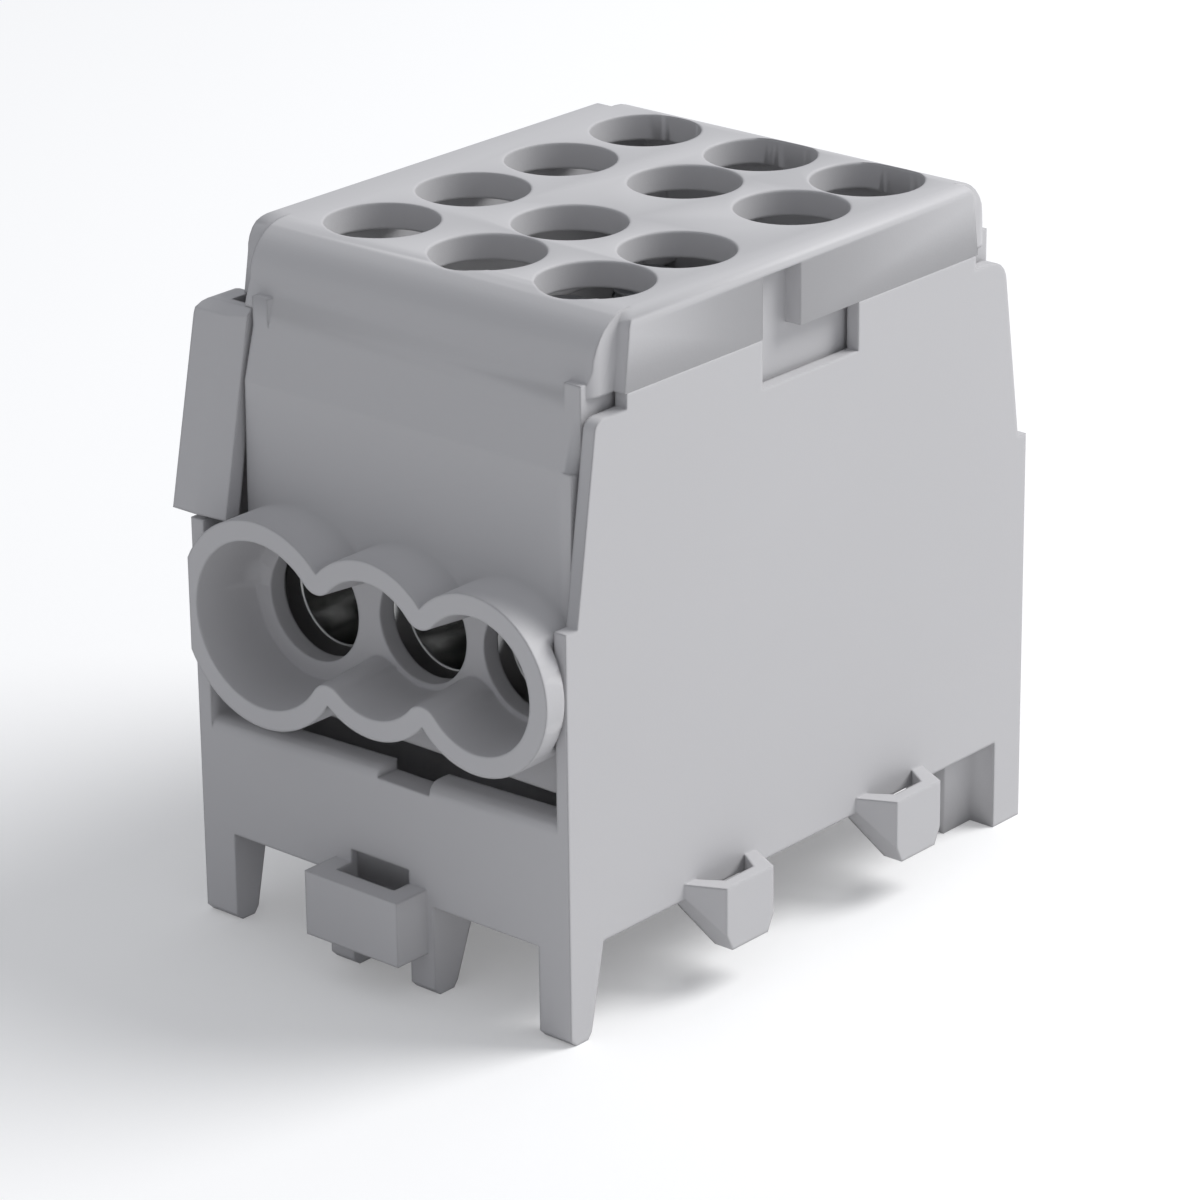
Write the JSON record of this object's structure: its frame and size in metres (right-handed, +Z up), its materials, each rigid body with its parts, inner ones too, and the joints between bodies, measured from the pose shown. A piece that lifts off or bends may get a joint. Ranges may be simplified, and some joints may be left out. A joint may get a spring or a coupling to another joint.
{
  "type": "power distribution block",
  "caption": "Grey rail-mounted distribution block: ribbed-foot housing, snap cover with screw access holes and merged cable funnels over a tinned terminal bar.",
  "frame": {"origin": "centre of the bounding box in plan, at the bottom of the feet", "axes": "+Z up, -Y the front with the latch strap, +X the side with the two straps; the rail runs along X"},
  "size_m": [0.0388, 0.053, 0.0502],
  "materials": {
    "housing_plastic": "satin moulded light grey plastic",
    "cover_plastic": "satin moulded light grey plastic",
    "tinned_metal": "bright tin plating",
    "screw_steel": "zinc plated steel"
  },
  "bodies": {
    "block": {"base": "housing_plastic", "cover": "cover_plastic", "terminal_bar": "tinned_metal"},
    "screw_01": {"clamp_screw_01": "screw_steel"},
    "screw_02": {"clamp_screw_02": "screw_steel"},
    "screw_03": {"clamp_screw_03": "screw_steel"},
    "screw_04": {"clamp_screw_04": "screw_steel"},
    "screw_05": {"clamp_screw_05": "screw_steel"},
    "screw_06": {"clamp_screw_06": "screw_steel"},
    "screw_07": {"clamp_screw_07": "screw_steel"},
    "screw_08": {"clamp_screw_08": "screw_steel"},
    "screw_09": {"clamp_screw_09": "screw_steel"},
    "screw_10": {"clamp_screw_10": "screw_steel"},
    "screw_11": {"clamp_screw_11": "screw_steel"},
    "screw_12": {"clamp_screw_12": "screw_steel"}
  },
  "joints": [
    {"name": "screw_01_travel", "type": "slide", "parent": "block", "child": "screw_01", "axis": [0, 0, -1], "range_m": [0, 0.0065]},
    {"name": "screw_02_travel", "type": "slide", "parent": "block", "child": "screw_02", "axis": [0, 0, -1], "range_m": [0, 0.0065]},
    {"name": "screw_03_travel", "type": "slide", "parent": "block", "child": "screw_03", "axis": [0, 0, -1], "range_m": [0, 0.0065]},
    {"name": "screw_04_travel", "type": "slide", "parent": "block", "child": "screw_04", "axis": [0, 0, -1], "range_m": [0, 0.0065]},
    {"name": "screw_05_travel", "type": "slide", "parent": "block", "child": "screw_05", "axis": [0, 0, -1], "range_m": [0, 0.0065]},
    {"name": "screw_06_travel", "type": "slide", "parent": "block", "child": "screw_06", "axis": [0, 0, -1], "range_m": [0, 0.0065]},
    {"name": "screw_07_travel", "type": "slide", "parent": "block", "child": "screw_07", "axis": [0, 0, -1], "range_m": [0, 0.0065]},
    {"name": "screw_08_travel", "type": "slide", "parent": "block", "child": "screw_08", "axis": [0, 0, -1], "range_m": [0, 0.0065]},
    {"name": "screw_09_travel", "type": "slide", "parent": "block", "child": "screw_09", "axis": [0, 0, -1], "range_m": [0, 0.0065]},
    {"name": "screw_10_travel", "type": "slide", "parent": "block", "child": "screw_10", "axis": [0, 0, -1], "range_m": [0, 0.0065]},
    {"name": "screw_11_travel", "type": "slide", "parent": "block", "child": "screw_11", "axis": [0, 0, -1], "range_m": [0, 0.0065]},
    {"name": "screw_12_travel", "type": "slide", "parent": "block", "child": "screw_12", "axis": [0, 0, -1], "range_m": [0, 0.0065]}
  ]
}
